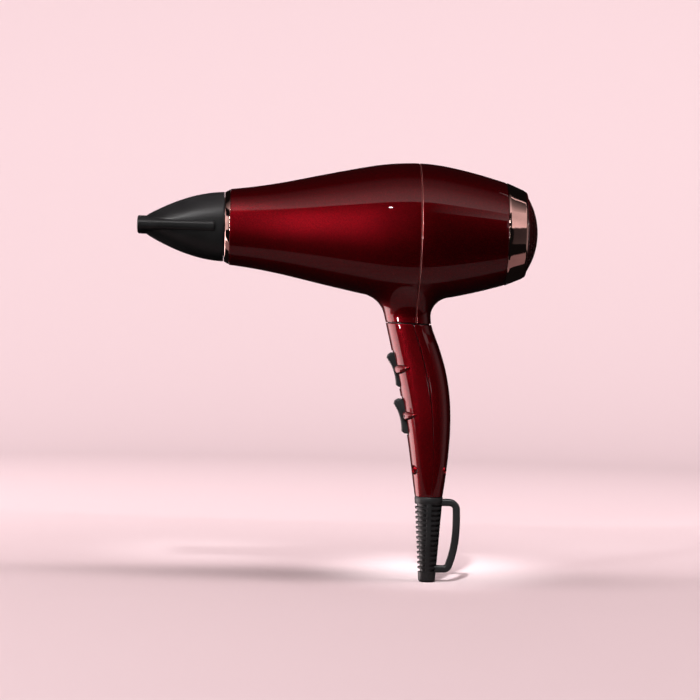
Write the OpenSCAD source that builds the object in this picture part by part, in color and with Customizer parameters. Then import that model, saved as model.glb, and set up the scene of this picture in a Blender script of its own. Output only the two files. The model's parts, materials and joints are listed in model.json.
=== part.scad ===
// Hand-held hair dryer with a slot nozzle, two rocker switches and a hanging loop.
// Millimetres. +Z is up, the air leaves towards -X, and the dryer is mirror-symmetric about Y = 0.
// The origin is the centre of the cord mouth, at the foot of the strain relief.

/* [Barrel] */
// Height of the barrel axis above the cord mouth
axis_height = 238; // [236:0.5:240]
// Radius of the housing at its front edge
front_radius = 25.7; // [25.4:0.1:26]
// Thickness of the housing walls
wall = 2.2; // [1.8:0.1:2.4]
// Place along the axis where the front and rear housings meet
seam_x = -12.5; // [-14:0.5:-9]

/* [Nozzle] */
// Place of the nozzle's tip along the axis
nozzle_tip_x = -201.8; // [-206:0.1:-201]
// Outer height of the flat slot duct
slot_height = 12.2; // [12:0.1:14]
// Outer half width of the slot duct at its tip
slot_half_width = 31; // [29:0.5:33]

/* [Intake] */
// Radius of the dome of the intake grille
dome_radius = 48; // [46:1:50]
// Diameter of one intake hole
intake_hole_d = 2.6; // [2:0.1:3]

/* [Handle] */
// Half depth across the widest part of the grip
grip_half_depth = 15.4; // [15:0.1:16]
// Share of the grip's width that belongs to the front shell
parting_share = 0.58; // [0.56:0.01:0.6]

/* [Switches] */
// Width of a rocker
rocker_width = 11; // [10.5:0.1:11.2]
// How far a rocker tips to each side of its middle, in degrees
rocker_tip = 6.5; // [4:0.5:7]

/* [Strain relief] */
// Radius of the sleeve at its top
sleeve_top_radius = 9.6; // [9.4:0.1:9.8]
// Number of rows of slots
slot_rows = 14; // [10:1:15]
// Radius of the hole for the mains cord
cord_hole_radius = 3.7; // [3:0.1:4]

/* [Hidden] */

round_fn = 96;
big = 400;

// An outline is a start value and stations of [place, slope]. The slope changes evenly between
// stations, so every stretch is a parabola and the stretches join without a corner.
function rise(k, i, x) =
    let (run = k[i + 1][0] - k[i][0], t = min(max(x - k[i][0], 0), run))
    k[i][1] * t + (k[i + 1][1] - k[i][1]) * t * t / (2 * run);
function outline(start, k, x, i = 0) =
    i >= len(k) - 1 ? start : outline(start + rise(k, i, x), k, x, i + 1);

// Barrel: radius along X
barrel_front_x = -139.8;
barrel_rear_x = 46.2;
barrel_stations = [[-140, 0.105], [-95, 0.228], [-48, 0.2], [-14, 0], [8, -0.19], [46.5, -0.305], [60, -0.38]];
function barrel_r(x) = outline(front_radius, barrel_stations, x);

// Grip: front and rear edges and half depth along Z
grip_bottom_z = 58.2;
grip_stations_front = [[58, -0.15], [85, -0.15], [150, -0.24], [178, -0.24]];
grip_stations_rear = [[58, 0.16], [100, 0.04], [125, -0.1], [168, -0.44], [176, -0.22], [180, 0]];
grip_stations_depth = [[58, 0.17], [95, 0.09], [120, 0], [150, -0.03], [180, -0.03]];
function grip_front(z) = outline(-9.5, grip_stations_front, z);
function grip_rear(z) = outline(9.3, grip_stations_rear, z);
function grip_depth(z) = outline(grip_half_depth - 5.9, grip_stations_depth, z);
function parting_x(z) = grip_front(z) + parting_share * (grip_rear(z) - grip_front(z));

// Joint between the neck and the grip: a plane a little off level
neck_joint = [-16.5, 0, 176];
neck_joint_tilt = 1;
neck_gap = 0.7;

// Fillets between the neck and the barrel
neck_fillet_front = 13;
neck_fillet_rear = 9.5;

// Barrel insides
spigot_radius = 19.8;
spigot_tip_x = -155.5;
ring_front_x = -143.7;
nozzle_rear_x = -143.95;
nozzle_dome_x = -195.9;
nozzle_rear_r = 23.5;
socket_bore = 21.3;
cap_rear_x = 60.1;
cap_front_x = 46.4;
skirt_radius = 32.85;

// Rocker pivots [x, z] and how far the grip's face leans back there, in degrees
speed_pivot = [-23.5, 144.3];
speed_lean = 13.3;
heat_pivot = [-18.3, 112.8];
heat_lean = 10.6;
rocker_half = 12.4;
pin_radius = 1;

screw_z = 76.5;
screw_y = 6;
recess_radius = 3.3;

black = "#1b1b1d";
lacquer = "#6a0710";
rose_gold = "#c98a7c";
steel = "#b9bcc0";
brass = "#c9a45a";
mica = "#cdbb95";

// ---------- helpers ----------

module at_axis() translate([0, 0, axis_height]) children();

// Turns a profile of [radius, x] points round the barrel axis
module revolve_x(points)
    at_axis() rotate([0, 90, 0]) rotate_extrude($fn = round_fn) polygon(points);

module tube_x(r_out, r_in, x0, x1)
    revolve_x([[r_in, x0], [r_out, x0], [r_out, x1], [r_in, x1]]);

module rod_x(r, x0, x1)
    at_axis() translate([x0, 0, 0]) rotate([0, 90, 0]) cylinder(r = r, h = x1 - x0, $fn = round_fn);

function middle(points) = [for (p = points) 1] * points / len(points);

// Closed solid through rings of points that all have the same count, with a fan at each end
module loft(rings) {
    n = len(rings[0]);
    last = len(rings) - 1;
    foot = (last + 1) * n;
    polyhedron(
        points = concat([for (r = rings) each r], [middle(rings[0]), middle(rings[last])]),
        faces = concat(
            [for (i = [0 : n - 1]) [i, (i + 1) % n, foot]],
            [for (k = [0 : last - 1], i = [0 : n - 1])
                let (j = (i + 1) % n) [k * n + i, (k + 1) * n + i, (k + 1) * n + j]],
            [for (k = [0 : last - 1], i = [0 : n - 1])
                let (j = (i + 1) % n) [k * n + i, (k + 1) * n + j, k * n + j]],
            [for (i = [0 : n - 1]) [last * n + (i + 1) % n, last * n + i, foot + 1]]
        ),
        convexity = 6
    );
}

function soft(v, p) = sign(v) * pow(abs(v), 2 / p);

// A grip section at height z, drawn in by inset
function grip_ring(z, inset, sides, p = 2.25) =
    let (f = grip_front(z) + inset, r = grip_rear(z) - inset, d = grip_depth(z) - inset)
    [for (i = [0 : sides - 1])
        let (a = 360 * i / sides)
        [(f + r) / 2 + (r - f) / 2 * soft(cos(a), p), d * soft(sin(a), p), z]];

module grip_solid(inset, z0, z1, sides = 40, steps = 13)
    loft([for (k = [0 : steps]) grip_ring(z0 + (z1 - z0) * k / steps, inset, sides)]);

// Everything below (or above) the joint plane between neck and grip
module below_joint(drop)
    translate(neck_joint - [0, 0, drop]) rotate([0, neck_joint_tilt, 0])
        translate([-big / 2, -big / 2, -big]) cube(big);

// ---------- barrel housings ----------

function barrel_profile(inset, x0, x1, steps) =
    concat([[0, x0]], [for (k = [0 : steps]) let (x = x0 + (x1 - x0) * k / steps) [barrel_r(x) - inset, x]], [[0, x1]]);

// Height of the barrel's underside at a place
function underside(x, y) = axis_height - sqrt(max(pow(barrel_r(x), 2) - y * y, 1));

// A ring of the neck at fillet angle a: at 0 it is the neck's wall and near 90 it lies on the barrel
function neck_ring(a, sides, lift = 0) =
    let (z0 = 184, f = grip_front(176) - 1.1, r = grip_rear(176), d = grip_depth(176))
    [for (i = [0 : sides - 1])
        let (
            t = 360 * i / sides,
            share = (1 + cos(t)) / 2,
            fillet = neck_fillet_front * (1 - share) + neck_fillet_rear * share,
            out = fillet * (1 - cos(a)),
            x = (f + r) / 2 + ((r - f) / 2 + out) * soft(cos(t), 2.25),
            y = (d + out) * soft(sin(t), 2.25)
        )
        [x, y, underside(x, y) - fillet * (1 - sin(a)) + lift]];

function neck_foot(z, sides) = grip_ring(z, 0, sides);

module neck_outer(sides = 40)
    difference() {
        loft(concat(
            [neck_foot(170, sides), neck_foot(177, sides)],
            [for (a = [8, 26, 42, 56, 69, 82]) neck_ring(a, sides)],
            [neck_ring(82, sides, 6)]
        ));
        below_joint(0);
    }

module neck_bore(sides = 32)
    loft([for (z = [160, 178, 206]) [for (p = grip_ring(min(z, 178), wall, sides)) [p[0], p[1], z]]]);

module housings()
    difference() {
        union() {
            revolve_x(barrel_profile(0, barrel_front_x, barrel_rear_x, 24));
            neck_outer();
        }
        revolve_x(barrel_profile(wall, barrel_front_x - 1, barrel_rear_x + 1, 14));
        neck_bore();
    }

module half_space(from_x, side)
    translate([from_x + (side > 0 ? 0 : -big), -big / 2, 0]) cube(big);

module front_housing()
    color(lacquer) {
        intersection() {
            housings();
            half_space(seam_x, -1);
        }
        // lap that the rear housing slides over
        tube_x(barrel_r(seam_x) - wall - 0.2, barrel_r(seam_x) - wall - 1.4, seam_x, seam_x + 4);
        tube_x(barrel_r(seam_x - 4) - wall + 0.5, barrel_r(seam_x) - wall - 1.4, seam_x - 5, seam_x);
    }

module rear_housing()
    color(lacquer) intersection() {
        housings();
        half_space(seam_x, 1);
    }

module front_trim_ring()
    color(rose_gold) revolve_x([
        [spigot_radius + 0.05, ring_front_x], [23.1, ring_front_x], [front_radius - 0.1, barrel_front_x],
        [23.3, barrel_front_x], [23.3, -135], [spigot_radius + 0.05, -135],
    ]);

module outlet_tube()
    color(black) union() {
        tube_x(spigot_radius, 18.2, spigot_tip_x, -122);
        tube_x(25, 18.2, -124, -122);
    }

module outlet_grille()
    color(black) {
        tube_x(18.1, 17, -154.5, -152.5);
        for (r = [5, 11]) tube_x(r + 0.6, r - 0.6, -154.5, -152.5);
        at_axis() for (a = [0 : 60 : 300]) rotate([a, 0, 0])
            translate([-154.5, -0.5, 4.8]) cube([2, 1, 12.6]);
    }

// ---------- nozzle ----------

function nozzle_drop(x) = 16.8 * pow(min(max((nozzle_rear_x - x) / (nozzle_rear_x - nozzle_dome_x), 0), 1), 1.8);
function nozzle_height(x) = nozzle_rear_r - nozzle_drop(x);
function nozzle_width(x) =
    nozzle_rear_r + (slot_half_width - 1.5 - nozzle_rear_r) * min(1, (nozzle_rear_x - x) / 55);
function duct_width(x) = 26 + (slot_half_width - 26) * (-150 - x) / (-150 - nozzle_tip_x);

// Distance from the axis to an ellipse, and to a flat slot with round edges, in direction a
function to_ellipse(w, h, a) = w * h / sqrt(pow(h * cos(a), 2) + pow(w * sin(a), 2));
function to_slot(w, h, a) = pow(pow(abs(cos(a)) / w, 2.8) + pow(abs(sin(a)) / h, 2.8), -1 / 2.8);

// A section of the nozzle: the lens-shaped body or the flat duct, whichever reaches further
function nozzle_ring(x, body, inset, sides) =
    [for (i = [0 : sides - 1])
        let (
            t = 360 * (i + 0.5) / sides,
            a = t - 17 * sin(2 * t),
            b = body ? to_ellipse(nozzle_width(x) - inset, nozzle_height(x) - inset, a) : 0,
            d = x > -150.5 ? 0 : to_slot(duct_width(x) - inset, slot_height / 2 - inset, a),
            r = max(b, d)
        )
        [x, r * cos(a), axis_height + r * sin(a)]];

module nozzle_shell()
    color(black) {
        difference() {
            union() {
                loft(concat(
                    [for (x = [nozzle_tip_x, nozzle_dome_x - 0.3]) nozzle_ring(x, false, 0, 44)],
                    [for (k = [0 : 7]) nozzle_ring(nozzle_dome_x + (-149 - nozzle_dome_x) * k / 7, true, 0, 44)]
                ));
                rod_x(nozzle_rear_r, -150, nozzle_rear_x);
            }
            loft(concat(
                [for (x = [nozzle_tip_x - 1, nozzle_dome_x + 0.7]) nozzle_ring(x, false, 1.9, 44)],
                [for (k = [0 : 4]) nozzle_ring(nozzle_dome_x + 2 + (-158 - nozzle_dome_x) * k / 4, true, 2, 44)]
            ));
            rod_x(19, -160, -150);
            rod_x(socket_bore, -156, nozzle_rear_x + 1);
            rod_x(socket_bore + 0.5, -150.2, -148.3);
        }
        // flow ribs in the slot
        for (y = [-14, 0, 14]) translate([nozzle_tip_x + 3, y - 0.6, axis_height - slot_height / 2 + 1.5])
            cube([4.4, 1.2, slot_height - 3]);
    }

module nozzle_socket_ring()
    color(black) revolve_x([
        [spigot_radius + 0.08, -155.3], [socket_bore - 0.1, -155.3], [socket_bore - 0.1, -150],
        [socket_bore + 0.4, -149.8], [socket_bore + 0.4, -148.7], [socket_bore - 0.1, -148.5],
        [socket_bore - 0.1, -144.4], [spigot_radius + 0.08, -144.4],
    ]);

// ---------- intake cap ----------

module rear_trim_ring()
    color(rose_gold) revolve_x([
        [skirt_radius + 0.05, cap_front_x], [barrel_r(barrel_rear_x) - 0.1, cap_front_x],
        [barrel_r(barrel_rear_x) + 0.05, cap_front_x + 0.5], [33.1, 52], [31.2, 56.6],
        [30, 59.5], [29.6, cap_rear_x], [28.9, cap_rear_x], [28.9, cap_rear_x - 3.9], [skirt_radius + 0.05, cap_front_x + 3.15],
    ]);

dome_centre_x = 69.3 - dome_radius;
hole_rings = [[4.6, 6], [9, 12], [13.4, 18], [17.8, 24], [22.2, 30]];

module intake_grille()
    color("#2a0a0c") {
        difference() {
            at_axis() intersection() {
                difference() {
                    translate([dome_centre_x, 0, 0]) sphere(r = dome_radius, $fn = round_fn);
                    translate([dome_centre_x, 0, 0]) sphere(r = dome_radius - 2, $fn = round_fn);
                }
                translate([56, 0, 0]) rotate([0, 90, 0]) cylinder(r = 28.6, h = 20, $fn = round_fn);
            }
            at_axis() for (ring = hole_rings, i = [0 : ring[1] - 1])
                rotate([360 * i / ring[1], 0, 0]) translate([55, 0, ring[0]]) rotate([0, 90, 0])
                    cylinder(d = intake_hole_d, h = 20, $fn = 24);
        }
        // rim and the skirt that plugs into the housing
        revolve_x([
            [27.6, cap_rear_x - 2], [28.8, cap_rear_x - 2.6], [28.8, cap_rear_x + 0.05], [29.4, cap_rear_x + 0.05],
            [28.4, 61.2], [27.6, 60.5],
        ]);
        revolve_x([
            [26.6, 56.4], [28.6, 56.4], [skirt_radius, cap_front_x + 3], [skirt_radius, 40.5],
            [skirt_radius - 1.6, 40.5], [skirt_radius - 1.6, cap_front_x + 2.5],
        ]);
        tube_x(28.6, 27.2, 56, 60);
    }

module filter_mesh()
    color(steel) {
        tube_x(26.4, 24.9, 55.2, 56.3);
        at_axis() for (a = [0, 90]) rotate([a, 0, 0])
            for (y = [-20 : 4 : 20])
                let (h = sqrt(25.4 * 25.4 - y * y))
                translate([55.5 + a / 300, y - 0.2, -h]) cube([0.3, 0.4, 2 * h]);
    }

// ---------- air duct and heater ----------

heater_front_x = -119;
heater_rear_x = -56;
coil_count = 9;
module air_duct()
    color("#3a3a3c") difference() {
        union() {
            revolve_x([
                [21.9, -121], [23.1, -121], [23.1, -55], [36.2, -14.5], [42.9, -14.5], [42.9, -13],
                [35.3, -13], [22.5, -53.5], [21.9, -54.5],
            ]);
        }
        // ways in for the heater and motor leads
        translate([-66, 0, axis_height - 28]) cylinder(r = 5.2, h = 12, $fn = 48);
        translate([-36, 6, axis_height - 36]) cylinder(r = 2.4, h = 16, $fn = 48);
    }

module heater_sleeve()
    color(mica) difference() {
        tube_x(21.7, 21.1, heater_front_x - 1, heater_rear_x + 1);
        translate([-66, 0, axis_height - 28]) cylinder(r = 4.6, h = 12, $fn = 48);
    }

function coil_x(i) = heater_front_x + 5 + i * (heater_rear_x - heater_front_x - 10) / (coil_count - 1);

module coil_ring(x, ring_r, wire_r)
    at_axis() translate([x, 0, 0]) rotate([0, 90, 0]) rotate_extrude($fn = round_fn)
        translate([ring_r, 0]) circle(r = wire_r, $fn = 24);

module heater_coils()
    color("#8f8f92") for (i = [0 : coil_count - 1]) {
        coil_ring(coil_x(i), 17, 1.1);
        coil_ring(coil_x(i), 10, 1.1);
    }

module heater_mica_frame()
    color(mica) difference() {
        at_axis() union() for (a = [45, 135]) rotate([a, 0, 0])
            translate([heater_front_x, -20.9, -0.4]) cube([heater_rear_x - heater_front_x, 41.8, 0.8]);
        for (i = [0 : coil_count - 1], r = [10, 17]) coil_ring(coil_x(i), r, 1.3);
    }

module thermal_cutout()
    color(steel) at_axis() translate([-61, 0, 6.2]) {
        translate([0, -3, -1.6]) cube([4, 6, 3.2]);
        translate([0.5, -2.6, 1.6]) cube([3, 5.2, 0.4]);
    }

module thermal_fuse()
    color("#d8d4c8") at_axis() translate([-86, 13.4, 0]) rotate([0, 90, 0]) {
        cylinder(r = 1.2, h = 5, $fn = 32);
        translate([0, 0, -1.4]) cylinder(r = 0.4, h = 7.8, $fn = 24);
    }

// ---------- motor and fan ----------

module motor_carrier()
    color(black) {
        revolve_x([
            [33.8, -12.5], [42.9, -12.5], [42.9, -11], [35.1, -11], [35.1, 38], [33.8, 38],
        ]);
        tube_x(23.5, 22.1, -32, 13);
        at_axis() for (i = [0 : 10]) rotate([360 * i / 11, 0, 0])
            translate([-10, -0.6, 23.3]) rotate([0, 0, 12]) cube([22, 1.2, 10.7]);
    }

module motor_mount_rings()
    color("#242426") for (x = [-31, 5]) tube_x(22, 20.05, x, x + 7);

module motor_can()
    color(steel) union() {
        tube_x(20, 18.9, -36, 14);
        tube_x(19.5, 4.1, 12.8, 14);
    }

module motor_end_cap()
    color(black) difference() {
        union() {
            rod_x(18.8, -36.5, -34);
            rod_x(20, -37.5, -36.1);
            rod_x(6.5, -41, -36);
        }
        rod_x(4.1, -42, -33);
        at_axis() for (a = [0 : 45 : 315]) rotate([a, 0, 0]) translate([-43, 0, 13])
            rotate([0, 90, 0]) cylinder(r = 2.6, h = 12, $fn = 32);
    }

module motor_magnets()
    color("#4a4a4e") difference() {
        tube_x(18.8, 16.6, -20, 8);
        at_axis() for (s = [-1, 1]) translate([-25, s * 17 - 6, -5]) cube([40, 12, 10]);
    }

module motor_bushes()
    color(brass) for (x = [[-40.5, -34.5], [10.5, 16]]) tube_x(4.05, 1.65, x[0], x[1]);

module motor_brushes()
    color("#55504a") at_axis() for (s = [-1, 1])
        translate([-30, -2, s > 0 ? 5.4 : -12.4]) cube([5, 4, 7]);

module motor_shaft()
    color(steel) rod_x(1.6, -42.5, 37);

module armature()
    color("#8a6f5a") {
        difference() {
            rod_x(15.9, -20, 8);
            rod_x(1.6, -21, 9);
            at_axis() for (i = [0 : 11]) rotate([30 * i, 0, 0]) translate([-21, -0.8, 12]) cube([30, 1.6, 6]);
        }
    }

module commutator()
    color(brass) difference() {
        rod_x(5.2, -31.5, -21);
        rod_x(1.6, -33, -20);
        at_axis() for (i = [0 : 11]) rotate([30 * i, 0, 0]) translate([-33, -0.2, 4.8]) cube([8, 0.4, 2]);
    }

module fan()
    color("#3c3c40") {
        revolve_x([
            [1.6, 18], [20.5, 18], [20.5, 29], [17.5, 32.5], [8, 33.5], [1.6, 33.5],
        ]);
        intersection() {
            at_axis() for (i = [0 : 8]) rotate([40 * i, 0, 0])
                translate([25.5, 0, 20.2]) rotate([0, 0, 38]) translate([-9.5, -0.8, 0]) cube([19, 1.6, 14]);
            tube_x(33.2, 20.3, 17.5, 34);
        }
    }

module fan_nut()
    color(steel) difference() {
        at_axis() translate([33.6, 0, 0]) rotate([0, 90, 0]) cylinder(r = 3.6, h = 2.6, $fn = 6);
        rod_x(1.6, 33, 37);
    }

// ---------- handle shells ----------

// The part of space in front of the parting line, side = -1, or behind it, side = 1
module parting_side(side)
    rotate([90, 0, 0]) linear_extrude(height = 80, center = true)
        polygon(concat(
            [for (z = [50, for (k = [0 : 12]) 58 + 10.5 * k, 190]) [parting_x(min(max(z, 58), 180)), z]],
            [[side * 90, 190], [side * 90, 50]]
        ));

module grip_shells()
    difference() {
        union() {
            difference() {
                grip_solid(0, grip_bottom_z, 180);
                translate([0, 0, 0]) difference() {
                    translate([-big / 2, -big / 2, -100]) cube(big + 100);
                    below_joint(neck_gap);
                }
            }
            // collar that sits inside the neck
            grip_solid(wall + 0.35, 166, 181.5, 32, 3);
        }
        grip_solid(wall, grip_bottom_z + 4, 172, 32, 9);
        grip_solid(wall + 1.7, 165, 183, 32, 3);
        // waist that holds the strain relief
        translate([0, 0, grip_bottom_z - 1]) cylinder(r = 6.9, h = 7, $fn = 64);
    }

// Places a shape drawn about a rocker's pivot, with Z along the grip's face
module at_pivot(pivot, lean)
    translate([pivot[0], 0, pivot[1]]) rotate([0, -lean, 0]) children();

module side_extrude(width)
    rotate([90, 0, 0]) linear_extrude(height = width, center = true) children();

module rocker_window(pivot, lean)
    at_pivot(pivot, lean) translate([-8, -rocker_width / 2 - 0.4, -rocker_half - 1]) {
        cube([19, rocker_width + 0.8, 2 * rocker_half + 2]);
    }

// Raised ears on both sides of a rocker, each a round boss that tapers back
module rocker_ears(pivot, lean)
    at_pivot(pivot, lean) for (s = [-1, 1])
        translate([0, s * 7.4, 0]) side_extrude(3) hull() {
            circle(r = 2.3, $fn = 28);
            translate([6.4, 0]) circle(r = 0.6, $fn = 16);
        }

module pivot_bore(pivot, lean)
    at_pivot(pivot, lean) rotate([90, 0, 0]) cylinder(r = pin_radius, h = 17, center = true, $fn = 32);

module screw_bosses(side)
    for (y = [-screw_y, screw_y])
        translate([side > 0 ? 1.8 : -11.5, y, screw_z]) rotate([0, 90, 0])
            cylinder(r = 2.9, h = side > 0 ? 9 : 12, $fn = 48);

// Posts on the front shell that the cord clamp is screwed to
module clamp_posts()
    for (y = [-5.6, 5.6]) translate([-11, y, 69.5]) rotate([0, 90, 0]) difference() {
        cylinder(r = 1.8, h = 7.4, $fn = 48);
        translate([0, 0, 3.4]) cylinder(r = 0.9, h = 5, $fn = 32);
    }

// Posts on the rear shell that carry the circuit board
module board_posts()
    for (z = [-26, 26]) translate([0, 0, z]) rotate([0, 90, 0]) {
        translate([0, 0, 1.7]) cylinder(r = 2.6, h = 12, $fn = 48);
        cylinder(r = 1.2, h = 2, $fn = 48);
    }

module screw_cuts(side)
    for (y = [-screw_y, screw_y]) translate([0, y, screw_z]) rotate([0, 90, 0]) {
        translate([0, 0, side > 0 ? 0 : -20]) cylinder(r = side > 0 ? 1.4 : 2.1, h = 21, $fn = 48);
        translate([0, 0, side > 0 ? 7.4 : -20.4]) cylinder(r = recess_radius, h = 13, $fn = 48);
    }

module handle_front_shell()
    color(lacquer) difference() {
        union() {
            intersection() {
                grip_shells();
                parting_side(-1);
            }
            rocker_ears(speed_pivot, speed_lean);
            rocker_ears(heat_pivot, heat_lean);
            intersection() {
                union() {
                    screw_bosses(-1);
                    clamp_posts();
                }
                grip_solid(0.5, 62, 120, 32, 6);
            }
        }
        rocker_window(speed_pivot, speed_lean);
        rocker_window(heat_pivot, heat_lean);
        pivot_bore(speed_pivot, speed_lean);
        pivot_bore(heat_pivot, heat_lean);
        screw_cuts(-1);
    }

module handle_rear_shell()
    color(lacquer) difference() {
        union() {
            intersection() {
                grip_shells();
                parting_side(1);
            }
            intersection() {
                union() {
                    screw_bosses(1);
                    on_board() board_posts();
                }
                grip_solid(0.5, 62, 170, 32, 10);
            }
        }
        screw_cuts(1);
    }

// ---------- switches ----------

// Side outline of a rocker about its pivot: x is into the grip, y along it. The outer face is an arc.
dish_sag = 1.5;
dish_radius = (pow(9.9, 2) + pow(dish_sag, 2)) / (2 * dish_sag);
function dish_x(y) = -2.8 - dish_radius + sqrt(pow(dish_radius, 2) - y * y);
rocker_profile = concat(
    [[-0.9, 12.3], [-3.4, 11.4]],
    [for (k = [-6 : 6]) let (y = -k * 9.9 / 6) [dish_x(y), y]],
    [[-3.4, -11.4], [-0.9, -12.3], [1.6, -11.6], [3.2, -3], [3.2, 3], [1.6, 11.6]]
);

module rocker(pivot, lean, tip)
    color(black) at_pivot(pivot, lean + tip) difference() {
        union() {
            side_extrude(rocker_width) polygon(rocker_profile);
            // lever that works the switch
            translate([2, -1.2, -1]) cube([5.4, 2.4, 2]);
            // grip ridges at the upper end
            for (z = [9.6, 7.9, 6.2]) translate([dish_x(z) - 0.3, 1.2 - rocker_width / 2, z - 0.4])
                cube([1, rocker_width - 2.4, 0.8]);
        }
        rotate([90, 0, 0]) cylinder(r = pin_radius + 0.05, h = 20, center = true, $fn = 32);
    }

module speed_rocker() rocker(speed_pivot, speed_lean, rocker_tip);
module heat_rocker() rocker(heat_pivot, heat_lean, rocker_tip);

module rocker_pins()
    color(steel) for (p = [[speed_pivot, speed_lean], [heat_pivot, heat_lean]])
        at_pivot(p[0], p[1]) rotate([90, 0, 0]) cylinder(r = pin_radius, h = 16.6, center = true, $fn = 32);

module switch_block(pivot, lean)
    color("#2c2c30") at_pivot(pivot, lean) {
        difference() {
            translate([5, -5.2, -8.5]) cube([6.8, 10.4, 17]);
            translate([4, -1.6, -2.6]) cube([4.4, 3.2, 5.2]);
        }
        for (z = [-5, 0, 5]) translate([11.7, -2.5, z - 0.4]) cube([1.4, 5, 0.8]);
    }

module speed_switch_block() switch_block(speed_pivot, speed_lean);
module heat_switch_block() switch_block(heat_pivot, heat_lean);

module on_board()
    translate([-6.2, 0, 130]) rotate([0, -9.8, 0]) children();

module circuit_board()
    color("#1f5a33") on_board() difference() {
        translate([0, -7.5, -29]) cube([1.6, 15, 58]);
        for (z = [-26, 26]) translate([-1, 0, z]) rotate([0, 90, 0]) cylinder(r = 1.3, h = 4, $fn = 32);
    }

module board_components()
    color("#8c3b22") on_board() {
        translate([1.6, 0, 8]) rotate([0, 90, 0]) cylinder(r = 5, h = 5.5, $fn = 48);
        translate([1.6, -6, -14]) cube([4, 12, 8]);
        for (z = [-22, -18]) translate([3.2, 0, z]) rotate([90, 0, 0]) cylinder(r = 1.3, h = 6, center = true, $fn = 32);
    }

// ---------- wiring ----------

// A lead of eight-sided wire through the points
module lead(points, r = 0.9)
    for (i = [0 : len(points) - 2])
        let (d = points[i + 1] - points[i], l = norm(d))
        translate(points[i]) rotate([0, acos(d[2] / l), atan2(d[1], d[0])]) translate([0, 0, -0.2])
            cylinder(r = r, h = l + 0.4, $fn = 8);

module wiring_loom()
    color("#d9d6cf") {
        for (y = [-1.5, 1.5])
            lead([[0, y, 73], [1, y, 84], [1.6, y * 2, 97], [1.3, y * 2, 103]]);
        for (y = [-2.4, 0, 2.4])
            lead([[-9.8, y, 159.5], [-14, y, 172], [-19, y, 190], [-30, y, 197.5], [-62, y, 207], [-66, y, 214], [-66, y, 218]]);
        for (y = [5.4, 7.6])
            lead([[-9.2, y, 159.5], [-10, y - 1, 174], [-20, y - 1, 190], [-33, y - 0.6, 199], [-36, y - 0.5, 208], [-36, y - 0.5, 216]], 0.7);
    }

module cord_clamp()
    color(black) difference() {
        translate([-3.6, -7.4, 67.2]) cube([8, 14.8, 4.6]);
        translate([0.5, 0, 60]) cylinder(r = 3.2, h = 20, $fn = 48);
        for (y = [-5.6, 5.6]) translate([-6, y, 69.5]) rotate([0, 90, 0]) cylinder(r = 0.9, h = 12, $fn = 32);
    }

module clamp_screws()
    color(steel) for (y = [-5.6, 5.6]) translate([-6.8, y, 69.5]) rotate([0, 90, 0]) {
        cylinder(r = 0.88, h = 11.6, $fn = 32);
        translate([0, 0, 11.25]) cylinder(r = 1.6, h = 1, $fn = 32);
    }

module handle_screws()
    color(steel) for (y = [-screw_y, screw_y]) translate([0, y, screw_z]) rotate([0, 90, 0]) difference() {
        union() {
            translate([0, 0, -6.5]) cylinder(r = 1.2, h = 14, $fn = 48);
            translate([0, 0, 7.45]) cylinder(r = 2.8, h = 1.8, $fn = 48);
        }
        for (a = [0, 90]) rotate([0, 0, a]) translate([-1.8, -0.35, 8.4]) cube([3.6, 0.7, 2]);
    }

module handle_sleeve_nuts()
    color(steel) for (y = [-screw_y, screw_y]) translate([0, y, screw_z]) rotate([0, 90, 0]) difference() {
        union() {
            translate([0, 0, -7.4]) cylinder(r = 2.05, h = 8.6, $fn = 48);
            translate([0, 0, -9.2]) cylinder(r = 2.8, h = 1.8, $fn = 48);
        }
        translate([0, 0, -6.8]) cylinder(r = 1.22, h = 20, $fn = 48);
        translate([-2, -0.4, -9.4]) cube([4, 0.8, 0.9]);
    }

// ---------- strain relief with its hanging loop ----------

sleeve_top_z = 57.9;
function sleeve_r(z) = 5.7 + (sleeve_top_radius - 5.7) * z / sleeve_top_z;
row_pitch = 3.41;
function row_z(i) = 52.2 - row_pitch * i;

// Centre line of the loop, in the XZ plane
loop_path = concat(
    [[7, 54.2]],
    [for (a = [90 : -18 : 0]) [14.2 + 5 * cos(a), 49.3 + 5 * sin(a)]],
    [[19.4, 40], [19.1, 32], [18.2, 24], [16.6, 17], [15.3, 13]],
    [for (a = [-25 : -13 : -90]) [11.3 + 3.6 * cos(a), 12.4 + 3.6 * sin(a)]],
    [[4.6, 8.8]]
);

// A point beside the loop's centre line
function beside(i, d) =
    let (
        last = len(loop_path) - 1,
        run = loop_path[min(i + 1, last)] - loop_path[max(i - 1, 0)],
        n = [run[1], -run[0]] / norm(run)
    )
    loop_path[i] + d * n;

module loop_bar(width)
    side_extrude(width) polygon(concat(
        [for (i = [0 : len(loop_path) - 1]) beside(i, 2.45)],
        [for (i = [len(loop_path) - 1 : -1 : 0]) beside(i, -2.45)]
    ));

// The spines stand a little proud of the sleeve
module spine_cone()
    rotate_extrude($fn = round_fn)
        polygon([[0, 4], [sleeve_r(4) + 0.2, 4], [sleeve_r(53) + 0.2, 53], [0, 53]]);

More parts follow.
